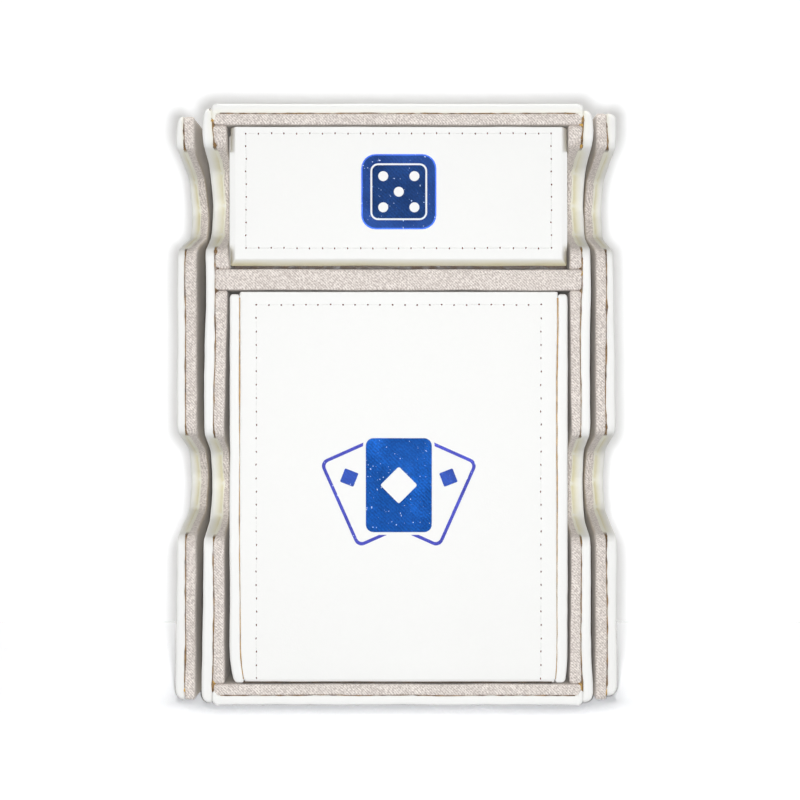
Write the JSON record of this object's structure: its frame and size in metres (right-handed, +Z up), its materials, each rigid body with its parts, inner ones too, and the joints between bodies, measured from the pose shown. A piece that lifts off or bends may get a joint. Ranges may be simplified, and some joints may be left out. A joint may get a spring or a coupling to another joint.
{
  "type": "deck box with drawer",
  "caption": "Upright card deck box: a lined frame with a stitched accessory drawer over a pull-out card tray, finger notches in its sides and a three-sided slip cover.",
  "frame": {"origin": "under the middle of the whole box, on the plane that it stands on", "axes": "+Z up, -Y out of the open front, +X to the right as seen from the front"},
  "size_m": [0.1106, 0.0862, 0.1504],
  "materials": {
    "leatherette": "white grained leatherette on board",
    "microfibre": "greige brushed microfibre on board",
    "nickel": "plated disc magnet"
  },
  "bodies": {
    "frame": {"back_magnets": "nickel", "back_outer_panel": "leatherette", "bottom_lining_panel": "microfibre", "bottom_outer_panel": "leatherette", "divider_panel": "microfibre", "drawer_bay_back_lining": "microfibre", "drawer_bay_left_lining": "microfibre", "drawer_bay_right_lining": "microfibre", "left_outer_panel": "leatherette", "right_outer_panel": "leatherette", "top_lining_panel": "microfibre", "top_outer_panel": "leatherette", "tray_bay_back_lining": "microfibre", "tray_bay_left_lining": "microfibre", "tray_bay_right_lining": "microfibre"},
    "drawer": {"drawer_back_lining": "microfibre", "drawer_back_wall": "leatherette", "drawer_floor": "leatherette", "drawer_floor_lining": "microfibre", "drawer_front_lining": "microfibre", "drawer_front_magnets": "nickel", "drawer_front_panel": "leatherette", "drawer_left_lining": "microfibre", "drawer_left_wall": "leatherette", "drawer_right_lining": "microfibre", "drawer_right_wall": "leatherette"},
    "tray": {"tray_back_lining": "microfibre", "tray_back_panel": "leatherette", "tray_floor_lining": "microfibre", "tray_floor_panel": "leatherette", "tray_front_lining": "microfibre", "tray_front_magnets": "nickel", "tray_front_panel": "leatherette", "tray_left_lining": "microfibre", "tray_left_panel": "leatherette", "tray_right_lining": "microfibre", "tray_right_panel": "leatherette"},
    "cover": {"cover_face_lining": "microfibre", "cover_face_panel": "leatherette", "cover_left_lining": "microfibre", "cover_left_panel": "leatherette", "cover_magnets": "nickel", "cover_right_lining": "microfibre", "cover_right_panel": "leatherette"}
  },
  "joints": [
    {"name": "drawer_slide", "type": "slide", "parent": "frame", "child": "drawer", "axis": [0, -1, 0], "range_m": [0, 0.08]},
    {"name": "tray_slide", "type": "slide", "parent": "frame", "child": "tray", "axis": [0, -1, 0], "range_m": [0, 0.08]},
    {"name": "cover_slide", "type": "slide", "parent": "frame", "child": "cover", "axis": [0, 1, 0], "range_m": [0, 0.08]}
  ]
}
